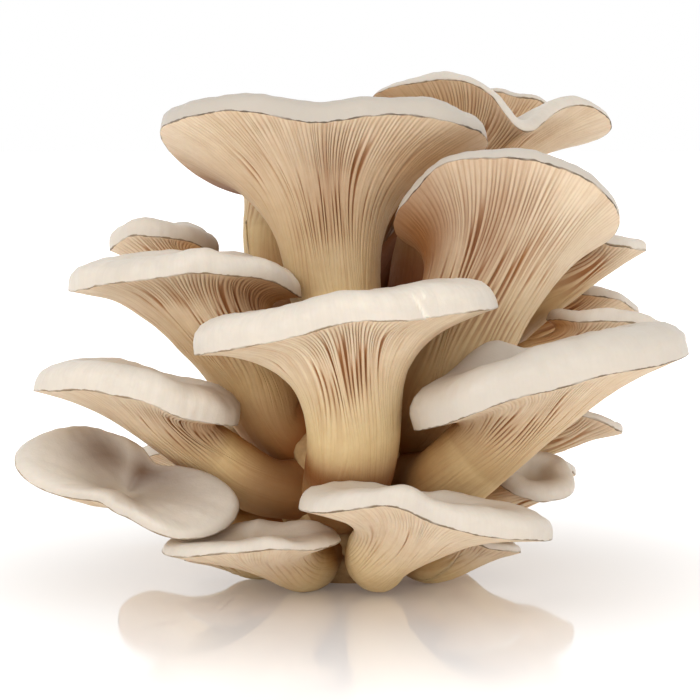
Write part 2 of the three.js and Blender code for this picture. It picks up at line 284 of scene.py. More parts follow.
def read_net(node, nearest):
    """A frame node's net: its rings (ring, column, xyz) and the point it ends in.

    Corners at one place are one point. The two points where most faces meet are the net's ends, and it starts
    from the end that is closer to `nearest`. Each edge knows the third corner of the face on its left, so the
    edges of one ring lead to the points of the next.
    """
    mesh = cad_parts[node].data
    places = np.empty(len(mesh.vertices) * 3, np.float32)
    mesh.vertices.foreach_get("co", places)
    corners = np.empty(len(mesh.loops), np.int32)
    mesh.loops.foreach_get("vertex_index", corners)
    steps = np.round(places.reshape(-1, 3).astype(float) / WELD)
    points, merged = np.unique(steps, axis=0, return_inverse=True)
    points = points * WELD
    faces = merged.ravel()[corners].reshape(-1, 3)
    beside = np.full((len(points), len(points)), -1)
    for a, b, c in ((0, 1, 2), (1, 2, 0), (2, 0, 1)):
        beside[faces[:, a], faces[:, b]] = faces[:, c]
    meeting = (beside >= 0).sum(axis=1)
    ends = np.flatnonzero(meeting == meeting.max())
    if len(ends) != 2:
        raise RuntimeError(f"{node} isn't a net with two ends")
    start, end = sorted(ends, key=lambda point: np.linalg.norm(points[point] - nearest))
    ring = [np.flatnonzero(beside[:, start] >= 0)[0]]
    while len(ring) < meeting.max():
        ring.append(beside[ring[-1], start])
    rings = []
    following = np.array(ring)
    while not (following == end).all():
        rings.append(following)
        following = np.roll(beside[following, np.roll(following, -1)], 1)
    rings = points[np.array(rings)]
    rightmost = int(rings[RIM_FROM_END, :, 0].argmax())  # the first column
    return np.roll(rings, -rightmost, axis=1), points[end]


def unit(vectors):
    """Vectors at length one."""
    return vectors / np.maximum(np.linalg.norm(vectors, axis=-1, keepdims=True), TINY)


def facing(ring):
    """The direction that a ring of points faces: the sum of its edges' cross products, at length one."""
    spokes = ring - ring.mean(axis=0)
    return unit(np.cross(spokes, np.roll(spokes, -1, axis=0)).sum(axis=0))


def spans(grid):
    """What each point of a surface stands for: the way it faces, as long as its share of the area."""
    across = np.roll(grid, -1, axis=1) - np.roll(grid, 1, axis=1)
    along = np.gradient(grid, axis=0)
    return np.cross(across, along) / 2


def nooks(nets):
    """How shut in each point of each net is: 0 in the open, 1 in a hollow, more between several mushrooms.

    Every net point counts as a small disc. A disc shuts in a point by its area, times the cosines of the
    angles at which the two face each other, over pi times their distance squared plus that area. All add up.
    """
    discs = np.concatenate([rings.reshape(-1, 3) for rings, _ in nets.values()])
    faces = np.concatenate([spans(rings).reshape(-1, 3) for rings, _ in nets.values()])
    areas = np.linalg.norm(faces, axis=1)
    faces = unit(faces)
    found = {}
    for node, (rings, _) in nets.items():
        here = outward(rings).reshape(-1, 1, 3)
        way = discs - rings.reshape(-1, 1, 3)
        squared = (way**2).sum(axis=-1)
        way = unit(way)
        met = np.clip((way * here).sum(axis=-1), 0, 1) * np.clip(-(way * faces).sum(axis=-1), 0, 1)
        shut = (met * areas / (math.pi * squared + areas)).sum(axis=1)
        found[node] = np.minimum(shut, MOST_SHUT_IN).reshape(rings.shape[:2])
    return found


# Curves


def smoothstep(low, high, value):
    """Rises from 0 at low to 1 at high along 3t^2 - 2t^3."""
    t = np.clip((value - low) / (high - low), 0, 1)
    return t * t * (3 - 2 * t)


def spline_weights(knots, places):
    """Weights that give a smooth curve through one point per knot: weights @ points is the curve at `places`.

    It is the natural cubic spline. Between two knots the curve is a cubic, its slope and bend match at every
    knot, and it has no bend at its ends. The bends follow from one linear system, solved for all points.
    """
    count = len(knots)
    gap = np.diff(knots)
    system = np.eye(count)
    bend_of = np.zeros((count, count))
    inner = np.arange(1, count - 1)
    system[inner, inner - 1] = gap[:-1]
    system[inner, inner] = 2 * (gap[:-1] + gap[1:])
    system[inner, inner + 1] = gap[1:]
    bend_of[inner, inner - 1] = 6 / gap[:-1]
    bend_of[inner, inner] = -6 / gap[:-1] - 6 / gap[1:]
    bend_of[inner, inner + 1] = 6 / gap[1:]
    bends = np.linalg.solve(system, bend_of)
    left = np.clip(np.searchsorted(knots, places, side="right") - 1, 0, count - 2)
    width = gap[left][:, None]
    far = ((places - knots[left]) / gap[left])[:, None]
    near = 1 - far
    points = np.eye(count)
    return (
        near * points[left] + far * points[left + 1]
        + ((near**3 - near) * bends[left] + (far**3 - far) * bends[left + 1]) * width**2 / 6
    )


def round_curve(rings, turns):
    """Points on smooth closed curves through the columns of each ring, at `turns` (ring, place) round it.

    One row of turns counts for every ring. Each curve is a uniform cubic B-spline. Its control points follow
    from the columns by one division in the frequency domain, and each place then blends four of them.
    """
    count = rings.shape[1]
    frequency = np.arange(count) * TURN / count
    share = (4 + 2 * np.cos(frequency)) / 6
    controls = np.fft.ifft(np.fft.fft(rings, axis=1) / share[None, :, None], axis=1).real
    place = turns * count
    first = np.floor(place).astype(int)
    t = (place - first)[..., None]
    blends = ((1 - t) ** 3, 3 * t**3 - 6 * t**2 + 4, -3 * t**3 + 3 * t**2 + 3 * t + 1, t**3)
    ring = np.arange(len(rings))[:, None]
    return sum(blend / 6 * controls[ring, (first + k - 1) % count] for k, blend in enumerate(blends))


def knots_of(rows):
    """Where each row of points lies along the surface: the mean distance walked from the first row."""
    walked = np.linalg.norm(np.diff(rows, axis=0), axis=-1).mean(axis=1)
    return np.concatenate([[0], np.cumsum(walked)])


def swell(points, size, rng):
    """A smooth random height, about -1 to 1, that changes over `size`: sine waves in random directions."""
    ways = unit(rng.normal(size=(WAVES, 3))) * rng.uniform(*WAVE_SPEEDS, (WAVES, 1)) * TURN / size
    phases = rng.uniform(0, TURN, WAVES)
    return np.sin(points @ ways.T + phases).sum(axis=-1) / math.sqrt(WAVES)


def wobble(turns, slowest, fastest, rng):
    """A smooth random height round a closed curve: sine waves of whole counts, the faster ones lower."""
    counts = np.arange(slowest, fastest + 1)
    phases = rng.uniform(0, TURN, len(counts))
    heights = rng.normal(size=len(counts)) / np.sqrt(counts)
    waves = np.sin(TURN * turns[..., None] * counts + phases) * heights
    return waves.sum(axis=-1) / math.sqrt((heights**2).sum())


def outward(grid):
    """The way each point of a surface faces."""
    return unit(spans(grid))


# Meshes


def faces_between(first, first_count, second, second_count):
    """Triangles that join two rings of points; the second has as many, half as many or twice as many."""
    if second_count > first_count:
        return faces_between(second, second_count, first, first_count)[:, ::-1]
    step = first_count // second_count
    k = np.arange(second_count)
    low = first + step * k
    low_next = first + (step * (k + 1)) % first_count
    high = second + k
    high_next = second + (k + 1) % second_count
    if step == 1:
        return np.concatenate([
            np.stack([low, low_next, high_next], 1),
            np.stack([low, high_next, high], 1),
        ])
    middle = low + 1
    return np.concatenate([
        np.stack([low, middle, high], 1),
        np.stack([middle, low_next, high_next], 1),
        np.stack([middle, high_next, high], 1),
    ])


def closed_faces(counts):
    """Triangles of a closed surface: a point, rings of `counts` points, and a point; and the ring of each."""
    starts = 1 + np.concatenate([[0], np.cumsum(counts)])
    bottom = np.arange(counts[0])
    top = np.arange(counts[-1])
    end = np.full(counts[-1], starts[-1])
    fans = np.stack([np.zeros_like(bottom), 1 + (bottom + 1) % counts[0], 1 + bottom], 1)
    parts = [fans]
    for ring in range(len(counts) - 1):
        parts.append(faces_between(starts[ring], counts[ring], starts[ring + 1], counts[ring + 1]))
    parts.append(np.stack([starts[-2] + top, starts[-2] + (top + 1) % counts[-1], end], 1))
    rings = np.repeat(np.arange(len(parts)), [len(part) for part in parts])
    return np.concatenate(parts), rings


def add_mesh(name, points, faces, materials, material_of, **values):
    """Puts a smooth mesh of triangles into the scene, with a value or vector per point for each name."""
    mesh = bpy.data.meshes.new(name)
    mesh.vertices.add(len(points))
    mesh.vertices.foreach_set("co", points.astype(np.float32).ravel())
    mesh.loops.add(faces.size)
    mesh.loops.foreach_set("vertex_index", faces.astype(np.int32).ravel())
    mesh.polygons.add(len(faces))
    mesh.polygons.foreach_set("loop_start", np.arange(0, faces.size, 3, dtype=np.int32))
    mesh.polygons.foreach_set("material_index", material_of.astype(np.int32))
    mesh.polygons.foreach_set("use_smooth", np.ones(len(faces), bool))
    for material in materials:
        mesh.materials.append(material)
    for key, value in values.items():
        form, field = ("FLOAT_VECTOR", "vector") if value.ndim == 2 else ("FLOAT", "value")
        layer = mesh.attributes.new(key, form, "POINT")
        layer.data.foreach_set(field, value.astype(np.float32).ravel())
    mesh.update(calc_edges=True)
    if mesh.validate():
        raise RuntimeError(f"{name} had faulty faces")
    piece = bpy.data.objects.new(name, mesh)
    bpy.context.scene.collection.objects.link(piece)
    return piece


def dress(piece, node):
    """Puts a finished piece in a frame node's place."""
    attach(piece, "root")
    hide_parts(node)


# Mushrooms


def underside_rows(net, gills):
    """The net from inside the foot to the rim, with the stem swollen at its root.

    A ring is added, moved from the root into the foot. Each stem ring is widened about its own middle by the
    swell, which fades from the root to the neck.
    """
    rows = net[: RIM_RING + 1].copy()
    rows = np.concatenate([rows[:1] - facing(rows[0]) * gills.root, rows])
    share = gills.swell * np.array([1, 1, 0.5])
    stem = rows[: len(share)]
    middle = stem.mean(axis=1, keepdims=True)
    rows[: len(share)] = middle + (stem - middle) * (1 + share[:, None, None])
    return rows


def top_rows(net, heart):
    """The net from the rim to the middle of the cap and on down the far side, so its middle is smooth."""
    near = net[RIM_RING:]
    far = np.roll(near[:0:-1], net.shape[1] // 2, axis=1)
    return np.concatenate([near, np.broadcast_to(heart, net[:1].shape), far])


def gill_heights(reach, column_width, count, gills, rng):
    """How high the gills stand, 0 to 1, over rows of `reach` (0 neck, 1 rim) and `count` gills round.

    Each gill belongs to a level, starts at its own place and rises from there. Its blade is highest on its
    own column and slopes off on both sides by the distance from it; where blades meet, the higher one counts.
    """
    level = np.array(LEVELS_IN_TURN)[np.arange(count) % GILLS_PER_FULL_GILL]
    first, last = np.array([stretch for stretch, _ in GILL_LEVELS])[level].T
    tall = np.array([height for _, height in GILL_LEVELS])[level]
    begin = first + (last - first) * rng.uniform(size=count)
    tall = tall * rng.uniform(LOWEST_GILL, 1.0, count)
    stand = smoothstep(0, GILL_FADE, reach[:, None] - begin) * tall
    crests = np.zeros((len(reach), count * COLUMNS_PER_GILL))
    crests[:, ::COLUMNS_PER_GILL] = stand
    height = np.full_like(crests, GILL_FLOOR)
    for aside in range(-GILL_REACH, GILL_REACH + 1):
        blade = 1 - smoothstep(gills.edge, gills.blade, abs(aside) * column_width)
        height = np.maximum(height, np.roll(crests, aside, axis=1) * blade[:, None])
    return height


def underside_places(length, row):
    """Distances from the root along the underside: `row` apart, and closer together near the rim."""
    coarse = length - UNDERSIDE_FINE_ROWS[0]
    plain = np.linspace(0, coarse, max(FEWEST_UNDERSIDE_ROWS, round(coarse / row)), endpoint=False)
    return np.concatenate([plain, length - UNDERSIDE_FINE_ROWS])


def cap_places(length, row):
    """Distances from the rim to the middle of the cap: close together at first, and then `row` apart."""
    coarse = length - CAP_FINE_ROWS[-1]
    inner = np.linspace(CAP_FINE_ROWS[-1], length, max(FEWEST_CAP_ROWS, round(coarse / (CAP_ROW * row))))
    return np.concatenate([CAP_FINE_ROWS, inner[1:-1]])


def rim_waves(turns, ways, distance, caps, rng):
    """Moves that make the rim uneven: closed random waves, outward and up, that fade away from the rim."""
    out, up = ways
    fade = np.exp(-((distance / caps.wave_falloff) ** 2))[..., None] * caps.wave
    slow = wobble(turns, *SLOW_RIM_WAVES, rng)[..., None]
    quick = wobble(turns, *QUICK_RIM_WAVES, rng)[..., None] * QUICK_RIM_HEIGHT
    rise = wobble(turns, *SLOW_RIM_WAVES, rng)[..., None]
    return fade * ((slow + quick) * out + (rise + quick) * up * RIM_RISE)


def tear_share(turns, from_rim, rim_length, tears):
    """How torn the skin is, 0 to 1: slanting lines across the margin that fork at their upper end.

    Each tear is (place round the rim, length above the rim, half width), and reaches a little below it too.
    """
    torn = np.zeros(np.broadcast_shapes(turns.shape, from_rim.shape))
    for place, length, width in tears:
        aside = (turns - place) * rim_length
        open_yet = 1 - smoothstep(TEAR_END * length, length, from_rim)
        for slant, start in ((TEAR_SLANT, -TEAR_BELOW), (FORK_SLANT, FORK_START * length)):
            line = aside - slant * (from_rim - max(start, 0))
            reached = smoothstep(start, start + width, from_rim) * open_yet
            torn = np.maximum(torn, reached * np.exp(-((line / width) ** 2)))
    return torn


def browned_share(turns, along, spots):
    """How much painted shade each point has, 0 to 1: every spot fades as a bell curve with the distance from
    its centre.

    `along` runs from -1 at the root to 0 at the neck, 1 at the rim and 2 in the middle of the cap. The margin
    of the cap stays pale.
    """
    side = np.where(along > 1, 1, np.where(along < 0, 0, -1))
    reach = np.clip(1 - abs(along - 1), 0, 1)
    right = np.where(side == 0, -along, reach * np.cos(TURN * turns))
    back = np.where(side == 0, 0, reach * np.sin(TURN * turns))
    inside = np.where(side == 1, smoothstep(0, PALE_EDGE, 1 - reach), 1)
    share = np.zeros(right.shape)
    for where, (x, y), width, strength in spots:
        spot = strength * np.exp(-((right - x) ** 2 + (back - y) ** 2) / width**2)
        share = np.maximum(share, spot * inside * (side == where))
    return share


def mushroom(node, net, heart, nook, gills, caps, materials, seed):
    """Builds one mushroom: underside and stem with gills, margin and cap, closed at both ends.

    Both surfaces are splines over the net's rows and closed curves over its columns, and share the rim. The
    grooves sink along the surface's own facing by the depth for that place times what the gills leave open.
    """
    rng = np.random.default_rng(seed)
    rim = net[RIM_RING]
    face = facing(rim)
    around_rim = np.linalg.norm(np.diff(rim, axis=0, append=rim[:1]), axis=1).sum()
    full = max(FEWEST_FULL_GILLS, round(around_rim / (gills.spacing * GILLS_PER_FULL_GILL)))
    columns = full * GILLS_PER_FULL_GILL * COLUMNS_PER_GILL
    turns = np.arange(columns) / columns
    calm = rng.uniform(0, 1, len(DRIFTS))

    rows = underside_rows(net, gills)
    knots = knots_of(rows)
    neck = knots[NECK_RING + 1]
    places = underside_places(knots[-1], gills.row)
    reach = np.where(places < neck, places / neck - 1, (places - neck) / (knots[-1] - neck))
    drift = sum(
        share * np.sin(reach[:, None] * turning + TURN * (count * turns + start))
        for (count, turning, share), start in zip(DRIFTS, calm)
    )
    fading = np.clip(1 - reach, 0, 1)[:, None]
    uneven = wobble(turns, full // 3, full, rng) * gills.uneven / (full * GILLS_PER_FULL_GILL)
    bent = turns + uneven + drift * fading * gills.drift / full
    weights = spline_weights(knots, places)
    under = round_curve(np.tensordot(weights, rows, 1), bent)
    # How shut in each point is, carried onto the surface; the finishes paint shade by it.
    under_nook = np.concatenate([np.full_like(nook[:1], MOST_SHUT_IN), nook[: RIM_RING + 1]])[..., None]
    under_nook = round_curve(np.tensordot(weights, under_nook, 1), bent)[..., 0]
    column_width = np.linalg.norm(np.roll(under, -1, axis=1) - under, axis=-1).mean(axis=1)
    height = gill_heights(reach, column_width, full * GILLS_PER_FULL_GILL, gills, rng)
    size = min(1.0, math.sqrt(around_rim / FULL_SIZE_RIM))

    over_rows = top_rows(net, heart)
    over_knots = knots_of(over_rows)
    length = over_knots[len(net) - RIM_RING]
    over_places = cap_places(length, gills.row)
    weights = spline_weights(over_knots, over_places)
    over = round_curve(np.tensordot(weights, over_rows, 1), turns[None, :])
    # how shut in the cap's points are, for the same painted shade
    over_nook = top_rows(nook[..., None], nook[-1].mean())
    over_nook = round_curve(np.tensordot(weights, over_nook, 1), turns[None, :])[..., 0]

    from_rim = np.concatenate([knots[-1] - places, over_places])[:, None]
    grid = np.concatenate([under, over])
    below = np.arange(len(grid))[:, None] < len(under)
    normals = np.concatenate([outward(under), outward(over)])
    out = unit((grid - heart) - ((grid - heart) @ face)[..., None] * face)
    waves_rng = np.random.default_rng(seed + RIM_SEED)
    moves = size * rim_waves(turns[None, :], (out, face), from_rim, caps, waves_rng)
    skin_share = np.where(below, UNDERSIDE_SKIN, 1.0) * smoothstep(0, SKIN_FROM_RIM, from_rim)
    rough = caps.swell * swell(grid, caps.swell_size, rng) + caps.dimple * swell(grid, caps.dimple_size, rng)
    patches = 1 - gills.fused * smoothstep(*FUSED_SWELLS, swell(under, gills.fused_size, rng))
    fan = gills.side + (1 - gills.side) * np.abs(outward(rows)[NECK_RING + 1, :, 1]) ** 2
    fan = round_curve(fan[None, :, None], turns[None, :])[..., 0]
    groove = np.zeros(grid.shape[:2])
    groove[: len(under)] = (1 - height) * patches * fan
    along = np.concatenate([reach, 1 + over_places / length])
    sink = gills.depth * size * groove * np.interp(along, DEPTH_AT, DEPTH_SHARE)[:, None]
    torn = tear_share(turns[None, :], np.where(below, -from_rim, from_rim), around_rim, TEARS.get(node, ()))
    grid = grid + moves + normals * (rough * skin_share - sink - TEAR_DEPTH * torn)[..., None]
    grid[..., 2] = np.maximum(grid[..., 2], 0)

    counts = columns // column_steps(places, neck, over_places / length, gills)
    keep = [slice(None, None, columns // count) for count in counts]

    def gather(values, first, last):
        """The values of the points that are kept, between those of the two ends."""
        values = np.broadcast_to(values, grid.shape[:2] + values.shape[2:])
        return np.concatenate([[first], *(row[kept] for row, kept in zip(values, keep)), [last]])

    flow = np.stack(np.broadcast_arrays(
        np.cos(TURN * turns)[None, :], np.sin(TURN * turns)[None, :], along[:, None] * FLOW_ALONG,
    ), axis=-1)
    points = gather(grid, under[0].mean(axis=0), heart)
    faces, rings = closed_faces(counts)
    return add_mesh(
        f"{node}_mushroom", points, faces, materials, rings >= len(under),
        groove=gather(groove, 0, 0),
        along=gather(along[:, None], along[0], 2),
        margin=gather(from_rim / MM, knots[-1] / MM, length / MM),
        # how shut in each point is, which drives the painted shade of nooks
        nook=gather(np.concatenate([under_nook, over_nook]), MOST_SHUT_IN, nook[-1].mean()),
        torn=gather(torn, 0, 0),
        # painted shade: how much greyer the whole cap is painted
        grey=np.full(len(points), PAINTED_SHADE_GREY.get(node, 0.0)),
        # painted shade in soft spots where the cluster shades itself
        browned=gather(browned_share(turns[None, :], along[:, None], PAINTED_SHADE_SPOTS.get(node, ())), 0, 0),
        flow=gather(flow, (0, 0, along[0]), (0, 0, 2 * FLOW_ALONG)),
    )


def column_steps(places, neck, over_share, gills):
    """Of how many columns each ring keeps one: more inside the foot, low on the stem and on the inner cap."""
    under = np.where(places < gills.root, 4, np.where(places < HALVED_STEM * neck, 2, 1))
    over = np.where(over_share < HALVED_CAP, 2, np.where(over_share < QUARTERED_CAP, 4, 8))
    return np.concatenate([under, over])


# The foot


def foot(settings):
    """Builds the foot: the flat cut face, then the egg up to its top, carried smoothly over the top."""
    net, top = read_net(FOOT, np.zeros(3))
    far = np.roll(net[:0:-1], net.shape[1] // 2, axis=1)
    rows = np.concatenate([net, np.broadcast_to(top, net[:1].shape), far])
    knots = knots_of(rows)
    length = knots[len(net)]
    places = np.linspace(0, length, settings.rows, endpoint=False)
    turns = np.arange(settings.columns)[None, :] / settings.columns
    side = round_curve(np.tensordot(spline_weights(knots, places), rows, 1), turns)
    rng = np.random.default_rng(FOOT_SEED)
    lumps = settings.lump * sum(share * swell(side, width, rng) for width, share in FOOT_LUMPS)
    lumps = lumps * smoothstep(0, FOOT_FLAT_EDGE, places)[:, None]
    side = side + outward(side) * lumps[..., None]
    side[..., 2] = np.maximum(side[..., 2], 0)
    middle = side[0].mean(axis=0)
    shares = np.linspace(CUT_FACE_START, 1, CUT_FACE_RINGS, endpoint=False)[:, None, None]
    grid = np.concatenate([middle + (side[0] - middle) * shares, side])
    points = np.concatenate([[middle], grid.reshape(-1, 3), [top]])
    faces, _ = closed_faces(np.full(len(grid), settings.columns))
    flat = np.zeros(1 + settings.columns * len(shares))
    heights = np.concatenate([flat, lumps.ravel() / settings.lump, [0]])
    material = foot_material(settings)
    return add_mesh("foot_flesh", points, faces, (material,), np.zeros(len(faces)), lump=heights)


# Finishes

SOCKET_KINDS = {1: "NodeSocketFloat", 3: "NodeSocketVector", 4: "NodeSocketColor"}


def fill(tree, socket, value):
    """Links an input to a socket or gives it a plain value; colours get full alpha."""
    if isinstance(value, bpy.types.NodeSocket):
        tree.links.new(value, socket)
    elif socket.type == "RGBA":
        socket.default_value = (*value[:3], 1.0)
    else:
        socket.default_value = value


def add(tree, kind, links=None, **settings):
    """Adds a shader node: `links` fills inputs by name or number, with a socket or a plain value."""
    made = tree.nodes.new(kind)
    for key, value in settings.items():
        setattr(made, key, value)
    for key, value in (links or {}).items():
        fill(tree, made.inputs[key], value)
    return made


def math_node(tree, operation, *values):
    """A number worked out from others."""
    return add(tree, "ShaderNodeMath", dict(enumerate(values)), operation=operation).outputs[0]


def weighed(tree, first, first_share, second, second_share):
    """The sum of two numbers, each times its share."""
    first = math_node(tree, "MULTIPLY", first, first_share)
    second = math_node(tree, "MULTIPLY", second, second_share)
    return math_node(tree, "ADD", first, second)


def blend(tree, share, first, second, mode="MIX"):
    """A colour between two others."""
    made = add(tree, "ShaderNodeMix", data_type="RGBA", blend_type=mode)
    for key, value in (("Factor_Float", share), ("A_Color", first), ("B_Color", second)):
        fill(tree, next(entry for entry in made.inputs if entry.identifier == key), value)
    return next(entry for entry in made.outputs if entry.identifier == "Result_Color")


def between(tree, value, low, high, first=0.0, last=1.0):
    """A number that goes smoothly from `first` to `last` as value goes from low to high."""
    links = {"Value": value, "From Min": low, "From Max": high, "To Min": first, "To Max": last}
    return add(tree, "ShaderNodeMapRange", links, interpolation_type="SMOOTHSTEP").outputs[0]


def attribute(tree, name, output="Fac"):
    """A value that the mesh carries."""
    return add(tree, "ShaderNodeAttribute", attribute_name=name).outputs[output]


def noise(tree, place, scale, detail=3.0, roughness=0.5):
    """A random pattern, 0 to 1."""
    links = {"Vector": place, "Scale": scale, "Detail": detail, "Roughness": roughness}
    return add(tree, "ShaderNodeTexNoise", links).outputs["Fac"]


def group(name, inputs, outputs, build):
    """A shader node group, built once: build(tree, inputs) returns its outputs' sockets.

    `inputs` gives each input's plain value, and `outputs` how many numbers each output has.
    """
    tree = bpy.data.node_groups.get(name)
    if tree:
        return tree
    tree = bpy.data.node_groups.new(name, "ShaderNodeTree")
    for title, default in inputs.items():
        kind = SOCKET_KINDS[np.size(default)]
        tree.interface.new_socket(title, in_out="INPUT", socket_type=kind).default_value = default
    for title, count in outputs.items():
        tree.interface.new_socket(title, in_out="OUTPUT", socket_type=SOCKET_KINDS[count])
    entry = tree.nodes.new("NodeGroupInput")
    results = build(tree, entry.outputs)
    last = tree.nodes.new("NodeGroupOutput")
    for socket, result in zip(last.inputs, results):
        tree.links.new(result, socket)
    return tree


def use(tree, made, links):
    """Places a node group."""
    return add(tree, "ShaderNodeGroup", links, node_tree=made).outputs


def mottle_group():
    """Uneven flesh: broad and small patches that darken a colour, and a height for its grain."""

    def build(tree, given):
        place = add(tree, "ShaderNodeTexCoord").outputs["Object"]
        broad = between(tree, noise(tree, place, 45.0, 4.0), 0.35, 0.7)
        small = between(tree, noise(tree, place, 260.0, 4.0, 0.6), 0.35, 0.7)
        patches = weighed(tree, broad, 0.6, small, 0.4)
        share = math_node(tree, "MULTIPLY", patches, given["Amount"])
        grain = noise(tree, place, 1400.0, 3.0, 0.6)
        height = math_node(tree, "ADD", small, math_node(tree, "MULTIPLY", grain, 0.5))
        return blend(tree, share, given["Colour"], given["Patches"]), patches, height

    inputs = {"Colour": (0.8, 0.8, 0.8, 1), "Patches": (0.6, 0.6, 0.6, 1), "Amount": 0.5}
    return group("Mottle", inputs, {"Colour": 4, "Patches": 1, "Height": 1}, build)


def margin_group():
    """The thin dark line along the rim, broken and of uneven width, laid over a colour."""

    def build(tree, given):
        place = add(tree, "ShaderNodeTexCoord").outputs["Object"]
        uneven = between(tree, noise(tree, place, 380.0, 3.0), 0.3, 0.7, 0.35, 1.3)
        width = math_node(tree, "MULTIPLY", given["Width"], uneven)
        share = math_node(tree, "DIVIDE", given["Margin"], width)
        line = between(tree, share, 0.4, 1.0, 1.0, 0.0)
        faint = between(tree, noise(tree, place, 120.0, 2.0), 0.35, 0.6, 0.35, 1.0)
        mask = math_node(tree, "MULTIPLY", line, faint)
        return (blend(tree, mask, given["Colour"], given["Line"]),)

    inputs = {"Colour": (0.8, 0.8, 0.8, 1), "Line": (0.1, 0.1, 0.1, 1), "Margin": 10.0, "Width": 0.5}
    return group("Margin line", inputs, {"Colour": 4}, build)


def nook_group():
    """Painted shade in shut-in places: a brown multiply laid over a colour, the stronger the more shut in."""

    def build(tree, given):
        share = between(tree, given["Nook"], 0.4, 1.7)
        shaded = blend(tree, 1.0, given["Colour"], given["Shade"], "MULTIPLY")
        return (blend(tree, share, given["Colour"], shaded),)

    inputs = {"Colour": (0.8, 0.8, 0.8, 1), "Shade": (0.7, 0.5, 0.3, 1), "Nook": 0.0}
    return group("Nook shade", inputs, {"Colour": 4}, build)


def streak_group():
    """Fine streaks that run with the gills or out from the middle of the cap."""

    def build(tree, given):
        fine = noise(tree, given["Flow"], 38.0, 4.0, 0.65)
        broad = noise(tree, given["Flow"], 11.0, 3.0)
        return (weighed(tree, fine, 0.6, broad, 0.4),)

    return group("Streaks", {"Flow": (0, 0, 0)}, {"Streaks": 1}, build)


def new_material(name, subsurface, sheen=0.0):
    """A material with one Principled shader, whose even values are set on its own sockets."""
    material = bpy.data.materials.new(name)
    material.use_nodes = True
    shader = material.node_tree.nodes["Principled BSDF"]
    even = {
        "Specular IOR Level": 0.35, "Subsurface Weight": subsurface, "Subsurface Radius": (1.0, 0.5, 0.25),
        "Subsurface Scale": 2.5 * MM, "Sheen Weight": sheen, "Sheen Roughness": 0.6,
    }
    for key, value in even.items():
        shader.inputs[key].default_value = value
    return material, shader


def finish_surface(tree, shader, tint, roughness, height, distance):
    """Gives a shader its colour, its roughness and a bump."""
    tree.links.new(tint, shader.inputs["Base Color"])
    fill(tree, shader.inputs["Roughness"], roughness)
    links = {"Height": height, "Distance": distance, "Strength": 0.5}
    tree.links.new(add(tree, "ShaderNodeBump", links).outputs[0], shader.inputs["Normal"])


def cap_material(caps):
    """Cap skin: pale and velvety, greyer in patches, darker in the hollow, with a thin dark margin."""
    material, shader = new_material("Cap skin", 0.2, 0.08)
    tree = material.node_tree
    along = attribute(tree, "along")
    margin = attribute(tree, "margin")
    streaks = use(tree, streak_group(), {"Flow": attribute(tree, "flow", "Vector")})[0]
    skin = blend(tree, between(tree, streaks, 0.4, 0.62), caps.skin, caps.shade)
    skin = blend(tree, 0.15, caps.skin, skin)
    hollow = math_node(tree, "MULTIPLY", between(tree, along, 1.3, 2.0), 0.75)
    skin = blend(tree, hollow, skin, caps.hollow)
    near_rim = between(tree, margin, 1.0, 8.0, 0.35, 0.0)
    # The grey near the rim is the skin's own tint; the grey of whole caps is painted shade.
    greyer = math_node(tree, "MAXIMUM", near_rim, attribute(tree, "grey"))
    skin = blend(tree, greyer, skin, caps.shade)
    mottled = use(tree, mottle_group(), {"Colour": skin, "Patches": caps.shade, "Amount": 0.4})
    # the margin line is darker on the caps painted greyer
    line = blend(tree, attribute(tree, "grey"), caps.pale_margin, caps.margin)
    lined = use(tree, margin_group(), {
        "Colour": mottled["Colour"], "Line": line, "Margin": margin, "Width": 0.45,
    })
    # painted shade in shut-in places
    shaded = use(tree, nook_group(), {
        "Colour": lined["Colour"], "Shade": caps.nook, "Nook": attribute(tree, "nook"),
    })
    # painted shade: soft spots of shade on the cap
    browned = blend(tree, attribute(tree, "browned"), shaded["Colour"], caps.browned)
    tint = blend(tree, attribute(tree, "torn"), browned, caps.torn)
    height = math_node(tree, "ADD", mottled["Height"], math_node(tree, "MULTIPLY", streaks, 0.25))
    roughness = between(tree, mottled["Patches"], 0.2, 0.8, 0.42, 0.56)
    finish_surface(tree, shader, tint, roughness, height, 0.12 * MM)
    return material


